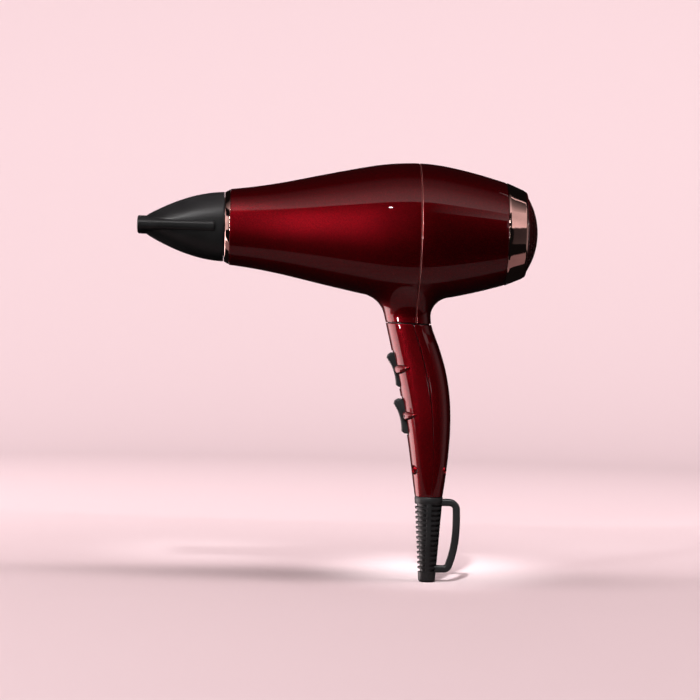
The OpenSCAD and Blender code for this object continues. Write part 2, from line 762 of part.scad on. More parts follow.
module strain_relief()
    color(black) difference() {
        union() {
            // sleeve with rows of grooves, bridged by three spines
            rotate_extrude($fn = round_fn) polygon(concat(
                [[0, 0], [4.4, 0], [5.5, 0.9], [sleeve_r(3), 3]],
                [for (i = [slot_rows - 1 : -1 : 0]) let (z = row_z(i), r = sleeve_r(z)) each
                    [[r - 0.06, z - 0.9], [r - 1.5, z - 0.9], [r - 1.5, z + 0.9], [r + 0.06, z + 0.9]]],
                [[sleeve_r(54), 54], [sleeve_r(54) + 0.25, 54.4],
                [sleeve_r(sleeve_top_z) + 0.1, sleeve_top_z], [0, sleeve_top_z]]
            ));
            intersection() {
                spine_cone();
                union() for (a = [0, 90, 270]) rotate([0, 0, a]) translate([-1, -1.5, 3]) cube([21, 3, 52]);
            }
            translate([0, 0, sleeve_top_z - 0.1]) cylinder(r = 6.7, h = 4.6, $fn = 64);
            translate([0, 0, 62.4]) cylinder(r = 7.3, h = 2.6, $fn = 64);
            loop_bar(6.4);
        }
        translate([0, 0, -1]) cylinder(r = cord_hole_radius, h = 70, $fn = 64);
    }

nozzle_shell();
nozzle_socket_ring();
front_trim_ring();
outlet_tube();
outlet_grille();
front_housing();
rear_housing();
rear_trim_ring();
intake_grille();
filter_mesh();
air_duct();
heater_mica_frame();
heater_coils();
heater_sleeve();
thermal_cutout();
thermal_fuse();
motor_carrier();
motor_mount_rings();
motor_can();
motor_end_cap();
motor_magnets();
motor_bushes();
motor_brushes();
motor_shaft();
armature();
commutator();
fan();
fan_nut();
handle_front_shell();
handle_rear_shell();
speed_rocker();
heat_rocker();
rocker_pins();
speed_switch_block();
heat_switch_block();
circuit_board();
board_components();
wiring_loom();
cord_clamp();
clamp_screws();
handle_screws();
handle_sleeve_nuts();
strain_relief();
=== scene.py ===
import bpy
import bmesh
import json
import math
import numpy as np
from mathutils import Matrix, Vector


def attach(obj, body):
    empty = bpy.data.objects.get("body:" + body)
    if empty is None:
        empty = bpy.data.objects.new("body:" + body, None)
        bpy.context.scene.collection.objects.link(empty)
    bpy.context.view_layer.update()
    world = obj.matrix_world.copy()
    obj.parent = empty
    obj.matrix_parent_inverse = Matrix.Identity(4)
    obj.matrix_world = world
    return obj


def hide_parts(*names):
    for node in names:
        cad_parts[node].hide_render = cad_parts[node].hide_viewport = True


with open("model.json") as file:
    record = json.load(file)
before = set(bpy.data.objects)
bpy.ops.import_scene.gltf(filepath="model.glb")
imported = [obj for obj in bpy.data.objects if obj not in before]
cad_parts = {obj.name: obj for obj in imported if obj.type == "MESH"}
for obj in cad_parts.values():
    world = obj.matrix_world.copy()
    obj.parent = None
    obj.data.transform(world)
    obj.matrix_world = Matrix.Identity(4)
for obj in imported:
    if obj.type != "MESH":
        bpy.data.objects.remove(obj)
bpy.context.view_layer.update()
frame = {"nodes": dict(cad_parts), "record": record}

MM = 0.001
AXIS_Z = 238.0           # height of the barrel's axis, mm
SEAM_X = -12.5           # where the two housings meet
WALL = 2.2


# ---------------------------------------------------------------- curves shared by the shells

def outline(start, stations, x):
    """Start value plus the integral of a slope that runs evenly from station to station."""
    total = start
    for (x0, s0), (x1, s1) in zip(stations, stations[1:]):
        t = np.clip(x - x0, 0, x1 - x0)
        total = total + s0 * t + (s1 - s0) * t * t / (2 * (x1 - x0))
    return total


def eased(f, window):
    """f averaged over a window, which also evens out its curvature."""
    taps = [(-0.9, 0.1), (-0.55, 0.24), (0, 0.32), (0.55, 0.24), (0.9, 0.1)]
    return lambda x: sum(w * f(np.asarray(x, float) + window * t) for t, w in taps)


barrel_r = eased(lambda x: outline(23.6, [(-160, 0.105), (-140, 0.105), (-95, 0.228), (-48, 0.2), (-14, 0),
                                          (8, -0.19), (46.5, -0.305), (60, -0.38)], x), 9)
grip_front = eased(lambda z: outline(-8.0, [(48, -0.15), (85, -0.15), (150, -0.24), (215, -0.24)], z), 7)
grip_rear = eased(lambda z: outline(7.8, [(48, 0.15), (58, 0.15), (100, 0.04), (125, -0.1), (168, -0.44),
                                          (176, -0.22), (180, 0), (215, 0)], z), 5)
grip_depth = eased(lambda z: outline(7.8, [(48, 0.17), (58, 0.17), (95, 0.09), (120, 0), (150, -0.03),
                                           (215, -0.03)], z), 7)
GRIP_POWER = 2 / 2.25


def soft(v):
    return np.sign(v) * np.abs(v) ** GRIP_POWER


def grip_point(t, z, out=0.0):
    f, r, d = grip_front(z) - out, grip_rear(z) + out, grip_depth(z) + out
    return np.stack([(f + r) / 2 + (r - f) / 2 * soft(np.cos(t)), d * soft(np.sin(t)), z + 0 * t], -1)


def normals_of(fn, u, v, eu=1e-3, ev=1e-2):
    """(point, normal, tangent along u, tangent along v) of a surface fn(u, v)."""
    p = fn(u, v)
    du = fn(u + eu, v) - fn(u - eu, v)
    dv = fn(u, v + ev) - fn(u, v - ev)
    n = np.cross(du, dv)
    unit = lambda a: a / np.maximum(np.linalg.norm(a, axis=-1, keepdims=True), 1e-12)
    return p, unit(n), unit(du), unit(dv)


# ---------------------------------------------------------------- mesh helpers

def piece(name, verts, faces, material, body, replaces=(), sharp=35, flip_check=None):
    me = bpy.data.meshes.new(name)
    me.from_pydata([tuple(float(c) * MM for c in v) for v in verts], [], [tuple(f) for f in faces])
    me.validate()
    bm = bmesh.new()
    bm.from_mesh(me)
    bmesh.ops.remove_doubles(bm, verts=bm.verts, dist=1e-7)
    bmesh.ops.recalc_face_normals(bm, faces=bm.faces)
    bm.to_mesh(me)
    bm.free()
    ob = bpy.data.objects.new(name, me)
    bpy.context.scene.collection.objects.link(ob)
    me.materials.append(material)
    finish_piece(ob, body, replaces, sharp)
    return ob


def finish_piece(ob, body, replaces=(), sharp=35):
    for p in ob.data.polygons:
        p.use_smooth = True
    ob.data.set_sharp_from_angle(angle=math.radians(sharp))
    if body:
        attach(ob, body)
    if replaces:
        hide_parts(*replaces)


def stitched(rings, close_v=True, start=0):
    """Quads between successive rings of equal length; vertex numbers begin at start."""
    n = len(rings[0])
    faces = []
    for k in range(len(rings) - 1):
        for i in range(n if close_v else n - 1):
            j = (i + 1) % n
            faces.append((start + k * n + i, start + k * n + j, start + (k + 1) * n + j, start + (k + 1) * n + i))
    return faces


def rounded(points, radius, steps=4, closed=True):
    """A flat outline with its corners rounded off; a point may carry its own radius as a third number."""
    out = []
    n = len(points)
    for i, p in enumerate(points):
        r = p[2] if len(p) > 2 else radius
        p0 = np.array(p[:2], float)
        if not closed and i in (0, n - 1):
            out.append(tuple(p0))
            continue
        a = np.array(points[(i - 1) % n][:2], float) - p0
        b = np.array(points[(i + 1) % n][:2], float) - p0
        la, lb = np.linalg.norm(a), np.linalg.norm(b)
        if r <= 0 or la < 1e-9 or lb < 1e-9:
            out.append(tuple(p0))
            continue
        d = min(r, la * 0.45, lb * 0.45)
        pa, pb = p0 + a / la * d, p0 + b / lb * d
        for k in range(steps + 1):
            t = k / steps
            out.append(tuple((1 - t) ** 2 * pa + 2 * t * (1 - t) * p0 + t * t * pb))
    return out


def lathe_data(profile, n=128, closed=True, start=0):
    """Vertices and faces of an (x, r) outline turned round the barrel axis."""
    ang = np.arange(n) * 2 * math.pi / n
    rings = [[(x, r * math.sin(a), AXIS_Z - r * math.cos(a)) for a in ang] for x, r in profile]
    if closed:
        rings = rings + [rings[0]]
        faces = stitched(rings, True, start)
        m = n * (len(rings) - 1)
        faces = [tuple(start + (v - start) % m for v in f) for f in faces]
        rings = rings[:-1]
    else:
        faces = stitched(rings, True, start)
    return [v for r in rings for v in r], faces


def box_mesh(name, low, high, matrix=None):
    bm = bmesh.new()
    bmesh.ops.create_cube(bm, size=1)
    for v in bm.verts:
        v.co = Vector([(a + b) / 2 + c * (b - a) for a, b, c in zip(low, high, v.co)])
        if matrix:
            v.co = matrix @ v.co
        v.co *= MM
    me = bpy.data.meshes.new(name)
    bm.to_mesh(me)
    bm.free()
    ob = bpy.data.objects.new(name, me)
    bpy.context.scene.collection.objects.link(ob)
    return ob


def rod_mesh(name, start, end, r, n=48):
    bm = bmesh.new()
    a, b = Vector(start), Vector(end)
    bmesh.ops.create_cone(bm, cap_ends=True, segments=n, radius1=r, radius2=r, depth=(b - a).length,
                          matrix=Matrix.Translation((a + b) / 2) @ (b - a).to_track_quat("Z", "Y").to_matrix().to_4x4())
    for v in bm.verts:
        v.co *= MM
    me = bpy.data.meshes.new(name)
    bm.to_mesh(me)
    bm.free()
    ob = bpy.data.objects.new(name, me)
    bpy.context.scene.collection.objects.link(ob)
    return ob


def combine(ob, tools, operation):
    """Applies booleans of ob with the tool objects, which are then removed."""
    for tool in tools:
        m = ob.modifiers.new("cut", "BOOLEAN")
        m.operation, m.solver, m.object = operation, "EXACT", tool
        graph = bpy.context.evaluated_depsgraph_get()
        me = bpy.data.meshes.new_from_object(ob.evaluated_get(graph))
        ob.modifiers.remove(m)
        old = ob.data
        ob.data = me
        bpy.data.meshes.remove(old)
    for tool in tools:
        bpy.data.objects.remove(tool)


def raw(name, verts, faces):
    """A closed helper mesh for booleans."""
    me = bpy.data.meshes.new(name)
    me.from_pydata([tuple(float(c) * MM for c in v) for v in verts], [], [tuple(f) for f in faces])
    bm = bmesh.new()
    bm.from_mesh(me)
    bmesh.ops.remove_doubles(bm, verts=bm.verts, dist=1e-7)
    bmesh.ops.recalc_face_normals(bm, faces=bm.faces)
    bm.to_mesh(me)
    bm.free()
    ob = bpy.data.objects.new(name, me)
    bpy.context.scene.collection.objects.link(ob)
    return ob


# ---------------------------------------------------------------- materials

class Nodes:
    """A small builder for one material's node tree."""

    def __init__(self, name, **sockets):
        self.m = bpy.data.materials.new(name)
        self.m.use_nodes = True
        self.t = self.m.node_tree
        self.t.nodes.clear()
        self.out = self.t.nodes.new("ShaderNodeOutputMaterial")
        self.b = self.t.nodes.new("ShaderNodeBsdfPrincipled")
        self.t.links.new(self.b.outputs[0], self.out.inputs[0])
        self.co = self.t.nodes.new("ShaderNodeTexCoord").outputs["Object"]
        for k, v in sockets.items():
            self.b.inputs[k.replace("_", " ")].default_value = v

    def add(self, kind, **inputs):
        n = self.t.nodes.new("ShaderNode" + kind)
        for k, v in inputs.items():
            key = k.replace("_", " ")
            if isinstance(v, bpy.types.NodeSocket):
                self.t.links.new(v, n.inputs[key])
            else:
                n.inputs[key].default_value = v
        return n

    def noise(self, scale, detail=3, rough=0.5, stretch=None):
        co = self.co
        if stretch:
            mp = self.add("Mapping", Vector=co)
            mp.inputs["Scale"].default_value = stretch
            co = mp.outputs[0]
        return self.add("TexNoise", Vector=co, Scale=scale, Detail=detail, Roughness=rough).outputs["Fac"]

    def remap(self, value, a0, a1, b0, b1):
        n = self.add("MapRange", Value=value)
        for k, v in zip(("From Min", "From Max", "To Min", "To Max"), (a0, a1, b0, b1)):
            n.inputs[k].default_value = v
        return n.outputs[0]

    def ramp(self, value, stops):
        n = self.add("ValToRGB", Fac=value)
        cr = n.color_ramp
        while len(cr.elements) < len(stops):
            cr.elements.new(0.5)
        for e, (p, c) in zip(cr.elements, stops):
            e.position, e.color = p, (*c, 1)
        return n.outputs[0]

    def bump(self, height, strength, distance):
        n = self.add("Bump", Height=height, Strength=strength, Distance=distance)
        return n.outputs[0]

    def put(self, socket, value):
        self.t.links.new(value, self.b.inputs[socket])
        return self


def lacquer(name, edge=None):
    """Metallic red under clear lacquer, with a painted highlight: paler in a thin band at x = edge, standing in for the
    light the seam's rolled lips catch.
    """
    m = Nodes(name, Metallic=0.95, Roughness=0.43, Coat_Weight=1.0, Coat_Roughness=0.018, Coat_IOR=1.5)
    flakes = m.add("TexVoronoi", Vector=m.co, Scale=3600).outputs["Color"]
    sparkle = m.add("SeparateColor", Color=flakes).outputs[0]
    cloud = m.noise(28, 2)
    base = m.ramp(sparkle, [(0.0, (0.085, 0.0002, 0.0018)), (0.7, (0.145, 0.0004, 0.003)), (1.0, (0.26, 0.0006, 0.006))])
    if edge is not None:
        x = m.add("SeparateXYZ", Vector=m.co).outputs[0]
        seam_highlight_band = m.add("Math")
        seam_highlight_band.operation = "COMPARE"
        m.t.links.new(x, seam_highlight_band.inputs[0])
        seam_highlight_band.inputs[1].default_value, seam_highlight_band.inputs[2].default_value = edge, 0.0005
        # painted highlight: the lacquer within 0.5 mm of the seam is mixed to a pale rose
        base = m.add("MixRGB", Fac=seam_highlight_band.outputs[0], Color1=base, Color2=(0.7, 0.26, 0.25, 1)).outputs[0]
    m.put("Base Color", base)
    m.put("Roughness", m.remap(cloud, 0.3, 0.7, 0.41, 0.45))
    m.put("Normal", m.bump(sparkle, 0.12, 0.00002))
    return m.m


def plastic(name, color, rough, grain=2600, depth=0.00004, strength=0.35, spec=0.5):
    m = Nodes(name, Roughness=rough, Specular_IOR_Level=spec)
    fine = m.noise(grain, 2, 0.6)
    wide = m.noise(60, 3)
    low = tuple(c * 0.82 for c in color)
    high = tuple(min(1, c * 1.2 + 0.002) for c in color)
    m.put("Base Color", m.ramp(wide, [(0.3, low), (0.7, high)]))
    m.put("Roughness", m.remap(wide, 0.3, 0.7, rough - 0.04, rough + 0.05))
    m.put("Normal", m.bump(fine, strength, depth))
    return m.m


def metal(name, color, rough, stretch=None, scale=900, spread=0.06, bump=0.0):
    m = Nodes(name, Metallic=1.0, Roughness=rough)
    streak = m.noise(scale, 3, 0.6, stretch)
    m.put("Base Color", m.ramp(streak, [(0.2, tuple(c * 0.86 for c in color)),
                                        (0.8, tuple(min(1, c * 1.06) for c in color))]))
    m.put("Roughness", m.remap(streak, 0.2, 0.8, max(0.02, rough - spread), rough + spread))
    if bump:
        m.put("Normal", m.bump(streak, 0.3, bump))
    return m.m


RED = lacquer("red_lacquer")
# the housings' lacquer carries the painted seam highlight
RED_WITH_SEAM_HIGHLIGHT = lacquer("red_lacquer_painted_seam_highlight", SEAM_X / 1000)
BLACK = plastic("black_grained_plastic", (0.007, 0.007, 0.0073), 0.4)
DARK = plastic("dark_plastic", (0.006, 0.006, 0.0065), 0.38, 1500)
RUBBER = plastic("rubber", (0.006, 0.006, 0.0063), 0.42, 3200, 0.00005, 0.4, 0.5)
ROSE = metal("rose_gold_mirror", (0.90, 0.56, 0.50), 0.06, scale=120, spread=0.015)
STEEL = metal("zinc_steel", (0.62, 0.63, 0.65), 0.3, bump=0.00001)
CAP = Nodes("cap_gloss", Base_Color=(0.03, 0.003, 0.004, 1), Roughness=0.22, Coat_Weight=0.5, Coat_Roughness=0.05)
CAP.put("Roughness", CAP.remap(CAP.noise(400, 2), 0.3, 0.7, 0.18, 0.28))
CAP.put("Normal", CAP.bump(CAP.noise(1800, 2), 0.1, 0.00002))
CAP = CAP.m

NODE_LOOKS = {
    "dark_plastic": DARK, "black_plastic": BLACK, "rubber": RUBBER, "zinc_steel": STEEL, "rose_gold": ROSE,
    "grille_plastic": CAP, "red_lacquer": RED,
    "fine_steel": metal("fine_steel", (0.55, 0.56, 0.58), 0.34, scale=1400),
    "mica": plastic("mica_sheet", (0.52, 0.42, 0.26), 0.36, 300, 0.00006, 0.3),
    "heating_wire": metal("oxidised_wire", (0.30, 0.27, 0.25), 0.45, scale=1500, bump=0.00002),
    "ceramic": plastic("glazed_ceramic", (0.72, 0.69, 0.62), 0.25, 500),
    "ferrite": plastic("ferrite", (0.06, 0.06, 0.065), 0.6, 900),
    "bronze": metal("sintered_bronze", (0.60, 0.42, 0.2), 0.4, scale=2000, bump=0.00002),
    "carbon": plastic("carbon_brush", (0.03, 0.03, 0.03), 0.55, 1200),
    "copper_winding": metal("enamelled_winding", (0.55, 0.22, 0.09), 0.35, (1, 1, 12), 500, bump=0.00008),
    "copper_bar": metal("commutator_copper", (0.78, 0.42, 0.25), 0.25, scale=800),
    "fan_plastic": plastic("fan_plastic", (0.075, 0.078, 0.085), 0.4, 1200),
    "board_green": plastic("solder_mask", (0.02, 0.16, 0.055), 0.3, 700),
    "component_body": plastic("component_body", (0.25, 0.06, 0.03), 0.35, 900),
    "wire_sleeve": plastic("wire_sleeve", (0.62, 0.6, 0.54), 0.6, 1800, 0.00006),
}
for part in frame["record"]["subparts"]:
    node = frame["nodes"].get(part["node"])
    if node is not None:
        look = NODE_LOOKS[part["material_slot"]]
        for s in node.material_slots:
            s.material = look
        if not node.material_slots:
            node.data.materials.append(look)


# ---------------------------------------------------------------- barrel housings with the neck

# rolled edges, as steps (along, down) past the edge of a surface
SEAM_LIP = [(0.2, 0.025), (0.39, 0.1), (0.56, 0.23), (0.69, 0.42), (0.75, 0.68), (0.75, 1.6)]
LIP = [(0.13, 0.02), (0.25, 0.07), (0.36, 0.16), (0.43, 0.28), (0.46, 0.44), (0.46, 1.4)]


def neck_plane(x):
    return 176 - (x + 16.5) * math.tan(math.radians(1))


def underside(x, y):
    return AXIS_Z - np.sqrt(np.maximum(barrel_r(x) ** 2 - y * y, 1))


def neck_patch(t, a, lift):
    """Points of the neck: a runs from its foot angle up to 90 degrees, where it lies on the barrel."""
    share = (1 + np.cos(t)) / 2
    fillet = 14.5 * (1 - share) + 11.0 * share + 3.0 * np.sin(t) ** 2
    foot = np.radians(13.5) * (1 - share)
    z = np.full_like(t, 180.0)
    for _ in range(6):
        base = grip_point(t, z)
        z = underside(base[..., 0], base[..., 1]) - fillet * (1 - np.sin(foot))
    if lift is not None:
        low = neck_plane(base[..., 0])
        return grip_point(t, low + (z - low) * lift)
    ang = foot + (np.pi / 2 - foot) * a
    f, r, d = grip_front(z), grip_rear(z), grip_depth(z)
    out = fillet * (np.cos(foot) - np.cos(ang))
    x = (f + r) / 2 + ((r - f) / 2 + out) * soft(np.cos(t))
    y = (d + out) * soft(np.sin(t))
    return np.stack([x, y, underside(x, y) - fillet * (1 - np.sin(ang))], -1)


def build_housing_surface():
    xs = np.concatenate([np.linspace(-139.8, -72, 46), np.linspace(-70.5, 30, 68), np.linspace(31.5, 46.2, 11)])
    nth = 160
    th = np.arange(nth) * 2 * math.pi / nth
    ia, ib = int(np.argmin(abs(xs + 66))), int(np.argmin(abs(xs - 27)))
    jh = 24                                          # half the patch's span round the barrel
    verts, faces = [], []
    R = barrel_r(xs)
    for x, r in zip(xs, R):
        for a in th:
            verts.append((x, r * math.sin(a), AXIS_Z - r * math.cos(a)))
    vid = lambda i, j: i * nth + (j % nth)
    for i in range(len(xs) - 1):
        for j in range(nth):
            jj = (j + jh) % nth
            if ia <= i < ib and jj < 2 * jh:
                continue
            faces.append((vid(i, j), vid(i + 1, j), vid(i + 1, j + 1), vid(i, j + 1)))
    loop = [(i, -jh) for i in range(ia, ib)] + [(ib, j) for j in range(-jh, jh)]
    loop += [(i, jh) for i in range(ib, ia, -1)] + [(ia, j) for j in range(jh, -jh, -1)]
    bx = np.array([xs[i] for i, j in loop])
    bt = np.array([j * 2 * math.pi / nth for i, j in loop])
    cx = -17.0
    t = np.arctan2(bt * 46 / 40, (bx - cx) / 47)
    top = neck_patch(t, 1.0, None)
    tx, tt = top[:, 0], np.arcsin(np.clip(top[:, 1] / barrel_r(top[:, 0]), -1, 1))
    rings = [[vid(i, j) for i, j in loop]]

    def add_ring(points):
        base = len(verts)
        verts.extend(map(tuple, points))
        rings.append(list(range(base, base + len(points))))

    steps = 12
    for k in range(1, steps + 1):
        s = k / steps
        x = bx + (tx - bx) * s
        a = bt + (tt - bt) * s
        r = barrel_r(x)
        add_ring(np.stack([x, r * np.sin(a), AXIS_Z - r * np.cos(a)], -1))
    for a in np.linspace(1, 0, 19)[1:]:
        add_ring(neck_patch(t, a, None))
    for s in (0.75, 0.5, 0.25, 0.04):
        add_ring(neck_patch(t, 0, s))
    # rolled lower edge, then a short way up the inside
    edge = neck_patch(t, 0, 0.0)
    inward = np.stack([-(edge[:, 0] - (-16.5)), -edge[:, 1], 0 * edge[:, 0]], -1)
    inward /= np.linalg.norm(inward, axis=1, keepdims=True)
    for along, up in ((0.06, 0.06), (0.2, 0.0), (0.5, -0.05), (1.4, -0.05), (1.5, 6.0)):
        add_ring(edge + inward * along + np.array([0, 0, up]))
    n = len(loop)
    for k in range(len(rings) - 1):
        for i in range(n):
            j = (i + 1) % n
            faces.append((rings[k][i], rings[k][j], rings[k + 1][j], rings[k + 1][i]))
    return verts, faces


def housing_half(name, side, node):
    verts, faces = build_housing_surface()
    bm = bmesh.new()
    bv = [bm.verts.new(v) for v in verts]
    for f in faces:
        bm.faces.new([bv[i] for i in f])
    bmesh.ops.recalc_face_normals(bm, faces=bm.faces)
    cut = SEAM_X + side * 0.88
    bmesh.ops.bisect_plane(bm, geom=bm.verts[:] + bm.edges[:] + bm.faces[:], dist=1e-4, plane_co=(cut, 0, 0),
                           plane_no=(-side, 0, 0), clear_outer=True)
    bm.normal_update()
    edge = [e for e in bm.edges if e.is_boundary and all(abs(v.co.x - cut) < 1e-3 for v in e.verts)]
    normal = {}
    for e in edge:
        for v in e.verts:
            n = Vector((0, v.normal.y, v.normal.z))
            if v.co.z > 183.5:
                r = Vector((0, v.co.y, v.co.z - AXIS_Z))
                n = n.normalized() if v.co.z < 205 else r
            normal[v] = n.normalized()
    where = {v: v.co.copy() for v in normal}
    for along, down in SEAM_LIP:
        ext = bmesh.ops.extrude_edge_only(bm, edges=edge)["geom"]
        new = [g for g in ext if isinstance(g, bmesh.types.BMVert)]
        edge = [g for g in ext if isinstance(g, bmesh.types.BMEdge) and all(v in set(new) for v in g.verts)]
        fresh = {}
        for v in new:
            src = min((u for u in (e.other_vert(v) for e in v.link_edges) if u in normal),
                      key=lambda u: (u.co - v.co).length)
            fresh[v] = src
        for v, src in fresh.items():
            normal[v], where[v] = normal[src], where[src]
        for v in new:
            v.co = where[v] - Vector((side * along, 0, 0)) - normal[v] * down
    me = bpy.data.meshes.new(name)
    # rims and inner wall
    if side < 0:
        rim = rounded([(-139.8, float(barrel_r(-139.8)), 0), (-139.86, float(barrel_r(-139.8)) - 0.02, 0),
                       (-139.9, 25.2, 0.2), (-139.9, 23.4, 0), (-135, 23.4, 0)], 0.2, 3, False)
        inner = [(x, float(barrel_r(x)) - WALL) for x in np.linspace(-134.9, SEAM_X - 1, 40)]
        prof = rim + inner
    else:
        r = float(barrel_r(46.2))
        prof = [(46.2, r), (46.34, r - 0.06), (46.45, r - 0.2), (46.5, r - 0.4), (46.5, r - WALL + 0.3), (46.2, r - WALL)]
        prof += [(x, float(barrel_r(x)) - WALL) for x in np.linspace(45, SEAM_X + 1, 30)]
    lv, lf = lathe_data(prof, 160, False)
    base = [bm.verts.new(v) for v in lv]
    for f in lf:
        bm.faces.new([base[i] for i in f])
    bmesh.ops.remove_doubles(bm, verts=bm.verts, dist=1e-4)
    bmesh.ops.recalc_face_normals(bm, faces=bm.faces)
    for v in bm.verts:
        v.co *= MM
    bm.to_mesh(me)
    bm.free()
    ob = bpy.data.objects.new(name, me)
    bpy.context.scene.collection.objects.link(ob)
    me.materials.append(RED_WITH_SEAM_HIGHLIGHT)
    finish_piece(ob, "dryer_body", (node,), 50)
    return ob


housing_half("housing_front_shell", -1, "front_housing")
housing_half("housing_rear_shell", 1, "rear_housing")


# ---------------------------------------------------------------- trim rings

def lathe_piece(name, profile, material, body, replaces, n=192, sharp=28):
    v, f = lathe_data(profile, n)
    return piece(name, v, f, material, body, replaces, sharp)


lathe_piece("front_ring", rounded([(-143.7, 20.0, 0.1), (-143.7, 23.0, 0.35), (-143.1, 23.75, 0.3), (-140.25, 25.35, 0.3),
                                   (-139.95, 25.1, 0.1), (-139.95, 23.4, 0.1), (-135.2, 23.2, 0.1), (-135.2, 20.0, 0.1)], 0.2),
            ROSE, "dryer_body", ("front_trim_ring",))
r46 = float(barrel_r(46.2))
lathe_piece("rear_ring", rounded([(46.75, 32.9, 0.1), (46.75, r46 - 1.0, 0.1), (46.95, r46 - 0.55, 0.2), (48.1, r46 - 0.35, 0.35),
                                  (52.2, 33.0, 2.5), (58.9, 30.2, 0.7), (59.75, 29.55, 0.35), (60.05, 29.2, 0.1),
                                  (60.0, 28.95, 0.05), (56.3, 28.95, 0.1), (49.75, 32.95, 0.1)], 0.2),
            ROSE, "intake_cap", ("rear_trim_ring",))


# ---------------------------------------------------------------- grip shells

PART_T = math.acos(0.16 ** 1.125)            # where the parting line runs round a grip section
SPEED_PIVOT, SPEED_LEAN = (-23.5, 144.3), 13.3
HEAT_PIVOT, HEAT_LEAN = (-18.3, 112.8), 10.6
TIP = 6.5


def pivot_matrix(pivot, lean):
    return Matrix.Translation((pivot[0], 0, pivot[1])) @ Matrix.Rotation(-math.radians(lean), 4, "Y")


def grip_panel(t0, t1, columns, rows=150):
    """A closed shell over part of the grip, with rolled edges all round."""
    gap = 0.54 / 15
    ts = np.linspace(t0 + gap, t1 - gap, columns)

    def at(t, v):
        top = neck_plane(grip_point(t, 174 + 0 * t)[..., 0]) - 1.1
        return grip_point(t, 58.55 + (top - 58.55) * v)
    vs = np.linspace(0, 1, rows)
    T, V = np.meshgrid(ts, vs)
    P, N, TU, TV = normals_of(at, T, V, 1e-3, 1e-4)
    rowsets, colsets = [], []
    for k in range(len(LIP), 0, -1):
        colsets.append((0, -LIP[k - 1][0], LIP[k - 1][1]))
    colsets += [(j, 0, 0) for j in range(columns)]
    colsets += [(columns - 1, a, d) for a, d in LIP]
    for k in range(len(LIP), 0, -1):
        rowsets.append((0, -LIP[k - 1][0], LIP[k - 1][1]))
    rowsets += [(i, 0, 0) for i in range(rows)]
    rowsets += [(rows - 1, a, d) for a, d in LIP]
    outer = []
    for i, av, dv in rowsets:
        ring = []
        for j, au, du in colsets:
            ring.append(P[i, j] + TU[i, j] * au + TV[i, j] * av - N[i, j] * max(du, dv))
        outer.append(ring)
    ni, nj = len(rowsets), len(colsets)
    inner = []
    for i, av, dv in rowsets:
        ring = []
        for j, au, du in colsets:
            a_u = math.copysign(LIP[-1][0], au) if au else 0
            a_v = math.copysign(LIP[-1][0], av) if av else 0
            depth = 1.4 if (du == 1.4 or dv == 1.4) else 2.0
            ring.append(P[i, j] + TU[i, j] * a_u + TV[i, j] * a_v - N[i, j] * depth)
        inner.append(ring)
    verts = [v for r in outer for v in r]
    base = len(verts)
    faces = []
    for i in range(ni - 1):
        for j in range(nj - 1):
            faces.append((i * nj + j, i * nj + j + 1, (i + 1) * nj + j + 1, (i + 1) * nj + j))
    verts += [v for r in inner for v in r]
    for i in range(ni - 1):
        for j in range(nj - 1):
            faces.append((base + i * nj + j, base + (i + 1) * nj + j, base + (i + 1) * nj + j + 1, base + i * nj + j + 1))
    rim = [(0, j) for j in range(nj)] + [(i, nj - 1) for i in range(1, ni)]
    rim += [(ni - 1, j) for j in range(nj - 2, -1, -1)] + [(i, 0) for i in range(ni - 2, 0, -1)]
    for k in range(len(rim)):
        (a, b), (c, d) = rim[k], rim[(k + 1) % len(rim)]
        faces.append((a * nj + b, c * nj + d, base + c * nj + d, base + a * nj + b))
    return verts, faces


def ear_solid(name, pivot, lean, side):
    """A teardrop bump that lies on the grip beside a rocker and tapers towards the back."""
    steps, n = 9, 56
    m = pivot_matrix(pivot, lean)
    verts, faces = [], []

    def on_grip(s, h):
        # s mm back from the pivot and h mm up the grip, on its surface
        p = m @ Vector((s, 0, h))
        f, r, d = (float(g(p.z)) for g in (grip_front, grip_rear, grip_depth))
        u = max(-0.999, min(0.999, (p.x - (f + r) / 2) / ((r - f) / 2)))
        y = d * (1 - abs(u) ** 2.25) ** (1 / 2.25)
        t = math.atan2(math.copysign((y / d) ** 1.125, side), math.copysign(abs(u) ** 1.125, u))
        q, nn, _, _ = normals_of(grip_point, np.array(t), np.array(float(p.z)), 1e-3, 1e-2)
        return Vector(q), Vector(nn)

    for k in range(steps + 1):
        rho = 1 - k / steps
        height = 2.0 * (1 - rho ** 3.0) ** 0.5 if k else -0.9
        for i in range(n):
            a = 2 * math.pi * i / n
            # round in front, drawn out to a point behind
            long = 7.4 if math.cos(a) > 0 else 2.6
            pull = 1 - 0.55 * max(0, math.cos(a)) ** 1.5
            s = 0.6 + long * math.cos(a) * rho
            h = 3.3 * math.sin(a) * rho * pull
            q, nn = on_grip(s, h)
            p = q + nn * height
            verts.append(tuple(p))
    faces = stitched([range(n)] * (steps + 1))
    faces.append(tuple(range(n)))
    return raw(name, verts, faces)


def grip_shell(name, t0, t1, columns, node):
    v, f = grip_panel(t0, t1, columns)
    ob = raw(name, v, f)
    return ob


